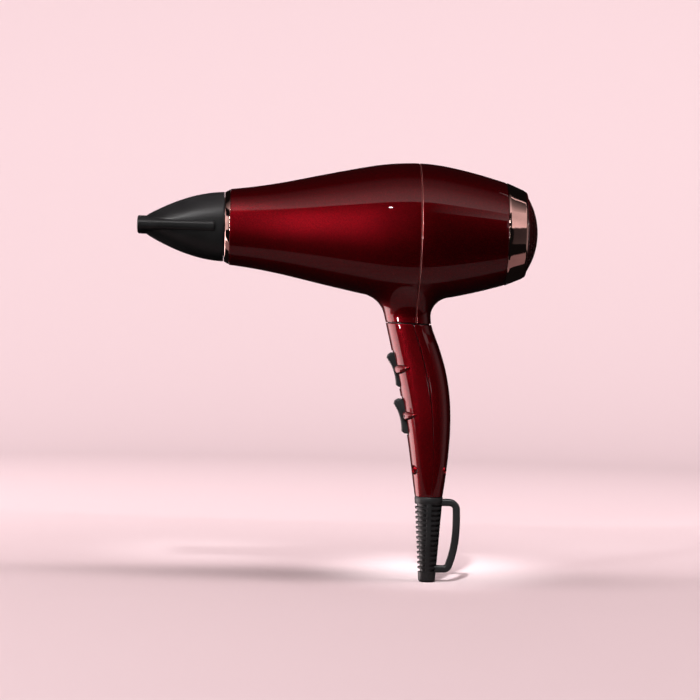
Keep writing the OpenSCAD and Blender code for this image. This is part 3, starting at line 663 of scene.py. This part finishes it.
front = grip_shell("grip_front_shell", PART_T, 2 * math.pi - PART_T, 150, "handle_front_shell")
rear = grip_shell("grip_rear_shell", -PART_T, PART_T, 84, "handle_rear_shell")
ears = [ear_solid("ear", p, l, s) for p, l in ((SPEED_PIVOT, SPEED_LEAN), (HEAT_PIVOT, HEAT_LEAN)) for s in (-1, 1)]
combine(front, ears, "UNION")
cuts = [box_mesh("cut", (-9, -5.95, -13.5), (9, 5.95, 13.5), pivot_matrix(p, l))
        for p, l in ((SPEED_PIVOT, SPEED_LEAN), (HEAT_PIVOT, HEAT_LEAN))]
cuts += [rod_mesh("cut", (-30, y, 76.5), (-4, y, 76.5), 3.3) for y in (-6, 6)]
combine(front, cuts, "DIFFERENCE")
combine(rear, [rod_mesh("cut", (4, y, 76.5), (30, y, 76.5), 3.3) for y in (-6, 6)], "DIFFERENCE")
for ob, node in ((front, "handle_front_shell"), (rear, "handle_rear_shell")):
    ob.data.materials.clear()
    ob.data.materials.append(RED)
    finish_piece(ob, "dryer_body", (node,), 40)

# recess sleeves round the screws, and a dark ring inside the neck joint that is painted shade for the gap
recess_v, recess_f = [], []
for side, x0, x1 in ((-1, -9.2, -11.4), (1, 7.4, 9.6)):
    for y in (-6, 6):
        for r0, r1 in ((3.25, 2.0),):
            n = 40
            base = len(recess_v)
            for x, r in ((x1, r0), (x0, r0), (x0, 0.4)):
                for i in range(n):
                    a = 2 * math.pi * i / n
                    recess_v.append((x, y + r * math.cos(a), 76.5 + r * math.sin(a)))
            recess_f += stitched([range(n)] * 3, True, base)
piece("screw_recesses", recess_v, recess_f, RED, "dryer_body", (), 40)
# painted shade: a dark plastic ring 1.55 mm inside the grip surface fills the neck gap
gap_shade_rings = [[tuple(p) for p in grip_point(np.arange(64) * 2 * math.pi / 64, np.full(64, z), -1.55)]
          for z in (170.5, 172, 174, 177, 181)]
piece("neck_gap_shade_ring", [v for r in gap_shade_rings for v in r], stitched(gap_shade_rings), DARK, "dryer_body", ())


# ---------------------------------------------------------------- nozzle

NOZZLE_REAR, NOZZLE_NOSE, NOZZLE_TIP = -143.95, -195.9, -201.8


def nozzle_half(x):
    drop = 16.8 * np.clip((NOZZLE_REAR - x) / (NOZZLE_REAR - NOZZLE_NOSE), 0, 1) ** 1.8
    return 23.5 + 6 * np.minimum(1, (NOZZLE_REAR - x) / 55), 23.5 - drop


def ellipse_ring(x, w, h, n=160):
    a = np.arange(n) * 2 * math.pi / n
    a = a - 0.28 * np.sin(2 * a)
    return [(x, w * math.cos(t), AXIS_Z + h * math.sin(t)) for t in a]


def slot_ring(x, w, h, n=160):
    """A flat oval section, drawn finer towards its two ends."""
    a = np.arange(n) * 2 * math.pi / n
    a = a - 0.3 * np.sin(2 * a)
    c, q = np.cos(a), np.sin(a)
    p = 2 / 2.8
    return [(x, w * math.copysign(abs(i) ** p, i), AXIS_Z + h * math.copysign(abs(k) ** p, k)) for i, k in zip(c, q)]


def tube_solid(name, rings):
    faces = stitched(rings)
    n = len(rings[0])
    faces.append(tuple(range(n)))
    faces.append(tuple(range((len(rings) - 1) * n, len(rings) * n)))
    return raw(name, [v for r in rings for v in r], faces)


def duct_half(x):
    return 26 + 5 * (-150 - x) / (-150 - NOZZLE_TIP)


lens = []
for out, inset in ((0.15, 1.0), (0.1, 0.5), (-0.1, 0.2), (-0.5, 0.05)):
    w, h = nozzle_half(np.array(NOZZLE_NOSE + 0.3))
    lens.append(ellipse_ring(NOZZLE_NOSE - out, float(w) - inset, float(h) - inset))
for x in np.linspace(NOZZLE_NOSE + 1.1, -144.4, 48):
    w, h = nozzle_half(np.array(x))
    lens.append(ellipse_ring(x, float(w), float(h)))
for x, inset in ((-144.15, 0.03), (-144.0, 0.12), (-143.97, 0.3)):
    lens.append(ellipse_ring(x, 23.5 - inset, 23.5 - inset))
nozzle = tube_solid("nozzle_body", lens)
duct = [slot_ring(NOZZLE_TIP + d, duct_half(NOZZLE_TIP + d) - i, 6.1 - i) for d, i in
        [(0.01, 0.75), (0.05, 0.45), (0.2, 0.2), (0.45, 0.05), (0.8, 0)]]
duct += [slot_ring(x, duct_half(x), 6.1) for x in np.linspace(-200, -151.4, 26)]
duct += [slot_ring(x, duct_half(x) - i, 6.1 - i) for x, i in ((-150.9, 0.06), (-150.6, 0.25), (-150.5, 0.55))]
hollow = [slot_ring(NOZZLE_TIP + d, duct_half(NOZZLE_TIP) - i, 6.1 - i) for d, i in
          [(-1.2, 1.2), (0, 1.3), (0.3, 1.55), (0.7, 1.8), (1.2, 1.9)]]
hollow += [slot_ring(x, duct_half(x) - 1.9, 4.2) for x in np.linspace(-199, -152, 12)]
cave = []
for x in np.linspace(-193.6, -158, 24):
    w, h = nozzle_half(np.array(x))
    cave.append(ellipse_ring(x, float(w) - 2, float(h) - 2, 96))
combine(nozzle, [tube_solid("duct", duct)], "UNION")
combine(nozzle, [tube_solid("hollow", hollow), tube_solid("cave", cave),
                 rod_mesh("bore", (-160, 0, AXIS_Z), (-150, 0, AXIS_Z), 19.0, 96),
                 rod_mesh("socket", (-156, 0, AXIS_Z), (-140, 0, AXIS_Z), 21.35, 128)], "DIFFERENCE")
nozzle.data.materials.clear()
nozzle.data.materials.append(BLACK)
finish_piece(nozzle, "nozzle", ("nozzle_shell",), 38)
ribs_v, ribs_f = [], []
for y in (-14, 0, 14):
    prof = [(-198.8, y - 0.6), (-198.8, y + 0.6), (-194.4, y + 0.6), (-194.4, y - 0.6)]
    prof = rounded(prof, 0.35, 3)
    base = len(ribs_v)
    for z in (AXIS_Z - 4.5, AXIS_Z + 4.5):
        ribs_v += [(x, yy, z) for x, yy in prof]
    ribs_f += stitched([range(len(prof))] * 2, True, base)
piece("nozzle_ribs", ribs_v, ribs_f, BLACK, "nozzle", ())
lathe_piece("socket_ring", rounded([(-155.2, 19.95), (-155.2, 21.15), (-144.5, 21.15), (-144.5, 19.95)], 0.25),
            DARK, "nozzle_socket", ("nozzle_socket_ring",))


# ---------------------------------------------------------------- intake grille

def dome_x(r, radius=48.0):
    return 21.3 + math.sqrt(radius * radius - r * r)


cap_profile = [(dome_x(r), r) for r in np.linspace(0, 27.9, 60)]
cap_profile += [(dome_x(28.1) + 0.12, 28.1), (60.75, 28.2), (61.0, 28.4), (61.05, 28.65), (60.85, 28.95), (60.3, 29.3),
                (60.18, 29.25), (60.16, 28.75), (57.6, 28.7), (56.5, 28.5), (49.5, 32.75), (49.2, 32.8),
                (40.8, 32.8), (40.55, 32.6), (40.55, 31.4), (48.6, 31.3), (56.4, 26.7)]
cap_profile += [(dome_x(r, 46.0), r) for r in np.linspace(26.6, 0, 40)]
cv, cf = lathe_data(cap_profile, 192)
cap = raw("intake_cap_shell", cv, cf)
HOLES = ((4.6, 6), (9.0, 12), (13.4, 18), (17.8, 24), (22.2, 30))
hv, hf = [], []
for rho, count in HOLES:
    for i in range(count):
        a = 2 * math.pi * i / count
        cy, cz = -rho * math.sin(a), AXIS_Z + rho * math.cos(a)
        top = dome_x(rho)
        base = len(hv)
        n = 20
        prof = [(top - 4.5, 1.3), (top - 0.42, 1.3), (top - 0.12, 1.42), (top + 0.6, 2.1)]
        for x, r in prof:
            hv += [(x, cy + r * math.cos(2 * math.pi * k / n), cz + r * math.sin(2 * math.pi * k / n)) for k in range(n)]
        hf += stitched([range(n)] * 4, True, base)
        hf += [tuple(range(base, base + n)), tuple(range(base + 3 * n, base + 4 * n))]
combine(cap, [raw("holes", hv, hf)], "DIFFERENCE")
cap.data.materials.clear()
cap.data.materials.append(CAP)
finish_piece(cap, "intake_cap", ("intake_grille",), 40)


# ---------------------------------------------------------------- rockers

def dish_x(y):
    radius = (9.9 ** 2 + 1.5 ** 2) / 3
    return -2.8 - radius + math.sqrt(radius ** 2 - y * y)


def rocker_piece(name, pivot, lean, body, node):
    prof = [(-0.9, 12.3, 0.5), (-3.4, 11.4, 0.6)] + [(dish_x(y), y, 0) for y in np.linspace(9.9, -9.9, 23)]
    prof += [(-3.4, -11.4, 0.6), (-0.9, -12.3, 0.5), (1.6, -11.6, 0.4), (3.2, -3, 0.3), (3.2, 3, 0.3), (1.6, 11.6, 0.4)]
    prof = np.array(rounded(prof, 0.5, 4))
    cen = np.array([-0.6, 0.0])
    m = pivot_matrix(pivot, lean + TIP)
    rings = []
    for y, inset in ((-5.45, 0.55), (-5.43, 0.3), (-5.33, 0.13), (-5.1, 0.03), (-4.8, 0), (4.8, 0), (5.1, 0.03), (5.33, 0.13),
                     (5.43, 0.3), (5.45, 0.55)):
        ring = []
        for i in range(len(prof)):
            a, b = prof[i - 1], prof[(i + 1) % len(prof)]
            t = b - a
            nrm = np.array([t[1], -t[0]]) / max(np.linalg.norm(t), 1e-9)
            if np.dot(nrm, prof[i] - cen) < 0:
                nrm = -nrm
            q = prof[i] - nrm * inset
            ring.append(tuple(m @ Vector((q[0], y, q[1]))))
        rings.append(ring)
    verts = [v for r in rings for v in r]
    n = len(prof)
    faces = stitched(rings) + [tuple(range(n)), tuple(range(9 * n, 10 * n))]
    for z in (9.5, 7.8, 6.1):
        base = len(verts)
        bar = rounded([(dish_x(z) + 0.7, z - 0.42), (dish_x(z) - 0.27, z - 0.36), (dish_x(z) - 0.27, z + 0.36),
                       (dish_x(z) + 0.7, z + 0.42)], 0.2, 3)
        for y, s in ((-4.25, 0.5), (-4.15, 0.85), (-3.95, 1), (3.95, 1), (4.15, 0.85), (4.25, 0.5)):
            for x, zz in bar:
                q = ((x - dish_x(z) - 0.4) * s + dish_x(z) + 0.4, (zz - z) * s + z)
                verts.append(tuple(m @ Vector((q[0], y, q[1]))))
        faces += stitched([range(len(bar))] * 6, True, base)
        faces += [tuple(range(base, base + len(bar))), tuple(range(base + 5 * len(bar), base + 6 * len(bar)))]
    return piece(name, verts, faces, DARK, body, (node,), 40)


rocker_piece("speed_rocker_cap", SPEED_PIVOT, SPEED_LEAN, "speed_switch_rocker", "speed_rocker")
rocker_piece("heat_rocker_cap", HEAT_PIVOT, HEAT_LEAN, "heat_switch_rocker", "heat_rocker")


# ---------------------------------------------------------------- strain relief and its loop

def sleeve_r(z):
    return 5.7 + 3.9 * z / 57.9


def relief_mesh():
    # (z, radius offset, share of the groove depth)
    levels = [(0.0, None, 4.3), (0.03, None, 4.9), (0.3, None, 5.3), (0.9, None, 5.62), (1.8, None, None)]
    for i in range(13, -1, -1):
        z = 52.2 - 3.41 * i
        levels += [(z - 1.02, 0.0, None), (z - 0.94, 0.12, None), (z - 0.88, 0.45, None), (z - 0.84, 1.0, None),
                   (z + 0.84, 1.0, None), (z + 0.88, 0.45, None), (z + 0.94, 0.12, None), (z + 1.02, 0.0, None)]
    levels += [(54.0, None, None), (54.12, None, sleeve_r(54.1) + 0.06), (54.4, None, sleeve_r(54.4) + 0.2)]
    levels += [(57.5, None, sleeve_r(57.5) + 0.08), (57.8, None, 9.55), (57.88, None, 9.3), (57.9, None, 6.7), (62.4, None, 6.7),
               (62.4, None, 7.25), (64.95, None, 7.25), (64.95, None, 3.75), (50, None, 3.75), (20, None, 3.75), (0.15, None, 3.75),
               (0.0, None, 3.95)]
    cols = []                 # (segment, fraction, share)
    spans = [("spine", 0), ("slot", 0), ("spine", 1), ("slot", 1), ("spine", 3), ("slot", 3)]
    for kind, k in spans:
        if kind == "spine":
            cols += [(kind, k, f, 0.0) for f in np.linspace(0, 1, 7)[:-1]]
        else:
            n = 56 if k == 1 else 28
            edge = ([(0.0, 0.0), (0.006, 0.1), (0.012, 0.42), (0.018, 1.0)] if k == 1 else
                    [(0.0, 0.0), (0.013, 0.1), (0.026, 0.42), (0.04, 1.0)])
            cols += [(kind, k, f, s) for f, s in edge]
            cols += [(kind, k, f, 1.0) for f in np.linspace(edge[-1][0], 1 - edge[-1][0], n)[1:-1]]
            cols += [(kind, k, 1 - f, s) for f, s in edge[::-1]]
    rings = []
    for z, share, radius in levels:
        r = radius if radius is not None else sleeve_r(z)
        beta = math.asin(min(0.5, 1.5 / max(r, 3.6)))
        q = math.pi / 2
        ring = []
        for kind, k, f, s in cols:
            if kind == "spine":
                a = k * q - beta + 2 * beta * f
            elif k == 1:
                a = q + beta + (2 * q - 2 * beta) * f
            else:
                a = k * q + beta + (q - 2 * beta) * f
            d = 1.45 * min(share or 0.0, s)
            ring.append(((r - d) * math.cos(a), (r - d) * math.sin(a), z))
        rings.append(ring)
    rings.append(rings[0])
    verts = [v for r in rings[:-1] for v in r]
    m = len(verts)
    faces = [tuple(v % m for v in f) for f in stitched(rings)]
    # the loop, a rounded bar along an eased path
    path = [(6.6, 54.2)] + [(14.2 + 5 * math.cos(math.radians(a)), 49.3 + 5 * math.sin(math.radians(a)))
                            for a in range(90, -1, -18)]
    path += [(19.4, 40), (19.1, 32), (18.2, 24), (16.6, 17), (15.3, 13)]
    path += [(11.3 + 3.6 * math.cos(math.radians(a)), 12.4 + 3.6 * math.sin(math.radians(a)))
             for a in range(-25, -91, -13)] + [(4.8, 8.8)]
    p = np.array(path)
    for _ in range(2):                       # corner cutting
        q0 = 0.75 * p[:-1] + 0.25 * p[1:]
        q1 = 0.25 * p[:-1] + 0.75 * p[1:]
        p = np.concatenate([[p[0]], np.stack([q0, q1], 1).reshape(-1, 2), [p[-1]]])
    run = np.gradient(p, axis=0)
    run /= np.linalg.norm(run, axis=1, keepdims=True)
    nrm = np.stack([run[:, 1], -run[:, 0]], 1)
    section = rounded([(-2.4, -3.15), (2.4, -3.15), (2.4, 3.15), (-2.4, 3.15)], 1.35, 6)
    base = len(verts)
    for c, d in zip(p, nrm):
        for u, y in section:
            verts.append((c[0] + d[0] * u, y, c[1] + d[1] * u))
    n = len(section)
    faces += stitched([range(n)] * len(p), True, base)
    faces += [tuple(range(base, base + n)), tuple(range(base + (len(p) - 1) * n, base + len(p) * n))]
    return verts, faces


rv, rf = relief_mesh()
piece("strain_relief_sleeve", rv, rf, RUBBER, "dryer_body", ("strain_relief",), 35)


# ---------------------------------------------------------------- studio

def sheet_piece(name, rows, material, glossy):
    me = bpy.data.meshes.new(name)
    me.from_pydata([v for r in rows for v in r], [], stitched(rows, False))
    for p in me.polygons:
        p.use_smooth = True
    ob = bpy.data.objects.new(name, me)
    bpy.context.scene.collection.objects.link(ob)
    me.materials.append(material)
    ob.visible_glossy = glossy
    return ob


PALE = Nodes("pale_floor", Base_Color=(0.85, 0.70, 0.72, 1), Roughness=0.65)
PALE.put("Normal", PALE.bump(PALE.noise(40, 2), 0.05, 0.0001))
PALE = PALE.m
FLOOR_Z = -0.0002
bowl = [(0.00001, FLOOR_Z), (0.6, FLOOR_Z), (1.3, FLOOR_Z)] + [
    (1.3 + 0.9 * math.sin(a), FLOOR_Z + 0.9 * (1 - math.cos(a))) for a in np.linspace(0.08, math.pi / 2, 16)] + [(2.2, 3.2)]
backdrop = sheet_piece("backdrop", [[(r * math.cos(a), r * math.sin(a), z) for r, z in bowl]
                                    for a in np.linspace(0, 2 * math.pi, 145)], PALE, False)
backdrop.visible_diffuse = False
DIM = Nodes("floor_as_seen_by_the_lacquer", Base_Color=(0.2, 0.15, 0.15, 1), Roughness=0.7)
DIM.put("Roughness", DIM.remap(DIM.noise(30, 2), 0.3, 0.7, 0.6, 0.8))
strip = sheet_piece("floor_mirror_side", [[(x, y, FLOOR_Z + 0.00003) for y in (-0.15, 0.0)] for x in (-0.5, 0.4)],
                    DIM.m, True)
strip.visible_camera = strip.visible_shadow = strip.visible_diffuse = False


def area(name, place, aim, size, watts, color=(1, 1, 1), glossy=True, spread=180):
    light = bpy.data.lights.new(name, "AREA")
    light.shape = "RECTANGLE"
    light.size, light.size_y = size
    light.energy, light.color = watts, color
    light.spread = math.radians(spread)
    ob = bpy.data.objects.new(name, light)
    bpy.context.scene.collection.objects.link(ob)
    ob.location = place
    ob.rotation_euler = (Vector(aim) - Vector(place)).to_track_quat("-Z", "Y").to_euler()
    ob.visible_glossy = glossy
    ob.visible_camera = False
    return ob


def glow(name, corner, along, up, levels, color):
    """A flat panel of light whose strength runs evenly from one level to the next along its first side."""
    m = bpy.data.materials.new(name)
    m.use_nodes = True
    t = m.node_tree
    t.nodes.clear()
    out, em = t.nodes.new("ShaderNodeOutputMaterial"), t.nodes.new("ShaderNodeEmission")
    ramp, uv = t.nodes.new("ShaderNodeValToRGB"), t.nodes.new("ShaderNodeUVMap")
    sep = t.nodes.new("ShaderNodeSeparateXYZ")
    top = max(levels)
    for k in range(len(levels) - 2):
        ramp.color_ramp.elements.new(0.5)
    for k, (e, v) in enumerate(zip(ramp.color_ramp.elements, levels)):
        e.position, e.color = k / (len(levels) - 1), tuple(c * v / top for c in color) + (1,)
    em.inputs[1].default_value = top
    t.links.new(uv.outputs[0], sep.inputs[0])
    t.links.new(sep.outputs[0], ramp.inputs[0])
    t.links.new(ramp.outputs[0], em.inputs[0])
    t.links.new(em.outputs[0], out.inputs[0])
    c, a, u = Vector(corner), Vector(along), Vector(up)
    me = bpy.data.meshes.new(name)
    me.from_pydata([c, c + a, c + a + u, c + u], [], [(0, 1, 2, 3)])
    layer = me.uv_layers.new(name="side")
    for k, uvp in enumerate(((0, 0), (1, 0), (1, 1), (0, 1))):
        layer.data[k].uv = uvp
    me.materials.append(m)
    ob = bpy.data.objects.new(name, me)
    bpy.context.scene.collection.objects.link(ob)
    ob.visible_camera = False
    ob.visible_shadow = False
    return ob


def spot(name, place, aim, watts, angle, radius):
    light = bpy.data.lights.new(name, "SPOT")
    light.energy, light.spot_size, light.spot_blend, light.shadow_soft_size = watts, math.radians(angle), 1.0, radius
    ob = bpy.data.objects.new(name, light)
    bpy.context.scene.collection.objects.link(ob)
    ob.location = place
    ob.rotation_euler = (Vector(aim) - Vector(place)).to_track_quat("-Z", "Y").to_euler()
    return ob


ROSY = (1.0, 0.84, 0.84)
glow("overhead_glow", (0.85, -0.66, 1.0), (0, 0.8, 0), (-1.8, 0, 0), (0.95, 0.62, 0.2, 0.02), ROSY)
glow("upper_right_glow", (0.2, -1.2, 1.0), (1.4, 0, 0), (0, 0.54, 0), (0.02, 0.3, 0.9, 1.3), ROSY)
glow("ring_glow", (0.75, -0.86, 0.5), (0, 1.26, 1.25), (0.8, 0, 0), (0.95, 0.6, 0.7, 1.3, 0.9), ROSY)
glow("left_glow", (-1.0, -0.66, 0.1), (0, 1.86, 0), (0, 0, 0.6), (0.6, 2.0, 1.4), ROSY)
glow("low_left_glow", (-1.0, -0.4, -0.6), (0, 1.53, 0), (0, 0, 0.7), (3.0, 4.6, 4.0, 2.0), ROSY)
glow("right_glow", (1.1, -0.9, -0.2), (0, 1.2, 0), (0, 0, 0.75), (0.03, 0.08, 0.3, 0.12), ROSY)
# lamps that light the flakes from beside and above, where the clear coat doesn't mirror them
for name, az, lifts, aims, watts, angle, radius in (
        ("pool", -42, (-8, 3, 14, 25), ((-0.115, -0.035, 0.238), (-0.03, -0.045, 0.243)), 23, 8.5, 0.1),
        ("grip_pool", -12, (42,), ((-0.012, -0.015, 0.1), (0.0, -0.015, 0.068)), 75, 6, 0.04)):
    for lift in lifts:
        for k, aim in enumerate(aims):
            e, a = math.radians(lift), math.radians(az)
            way = Vector((math.sin(a) * math.cos(e), -math.cos(a) * math.cos(e), math.sin(e)))
            spot("%s_%d_%d" % (name, lift, k), Vector(aim) + 1.5 * way, aim, watts, angle, radius)
spot("nozzle_top", (-0.26, -0.55, 0.95), (-0.183, 0, 0.24), 30, 6.5, 0.06)
spot("grip_streak", (-0.016 + 1.5 * math.sin(math.radians(18)), -0.015 - 1.5 * math.cos(math.radians(18)), 0.2),
     (-0.016, -0.015, 0.148), 1.0, 3.0, 0.06)
area("key_left", (-1.1, -1.3, 0.3), (-0.06, 0, 0.15), (0.8, 0.8), 8, glossy=False)
area("wash_floor", (0, -0.6, 2.0), (0, 0.1, 0), (3.0, 2.4), 50, (1, 0.88, 0.9), False)
area("wash_back", (0, -0.2, 1.9), (0, 2.0, 0.6), (2.4, 0.6), 56, (1, 0.88, 0.9), False)

world = bpy.data.worlds.new("studio")
bpy.context.scene.world = world
world.use_nodes = True
world.node_tree.nodes["Background"].inputs[0].default_value = (0.85, 0.8, 0.8, 1)
world.node_tree.nodes["Background"].inputs[1].default_value = 0.006

cam = bpy.data.cameras.new("photo_view")
cam.sensor_width = 36
CAM_PLACE, CAM_AIM = Vector((-0.1425, -1.83, 0.2)), Vector((-0.0563, 0, 0.1566))
cam.lens = 36 / (2 * 0.238 / (CAM_AIM - CAM_PLACE).length)
cam.dof.use_dof = False
cam_ob = bpy.data.objects.new("photo_view", cam)
bpy.context.scene.collection.objects.link(cam_ob)
cam_ob.matrix_world = (Matrix.Translation(CAM_PLACE)
                       @ (CAM_AIM - CAM_PLACE).to_track_quat("-Z", "Y").to_matrix().to_4x4()
                       @ Matrix.Rotation(math.radians(1.5), 4, "Z"))
bpy.context.scene.camera = cam_ob

bpy.context.scene.view_settings.view_transform = "Standard"
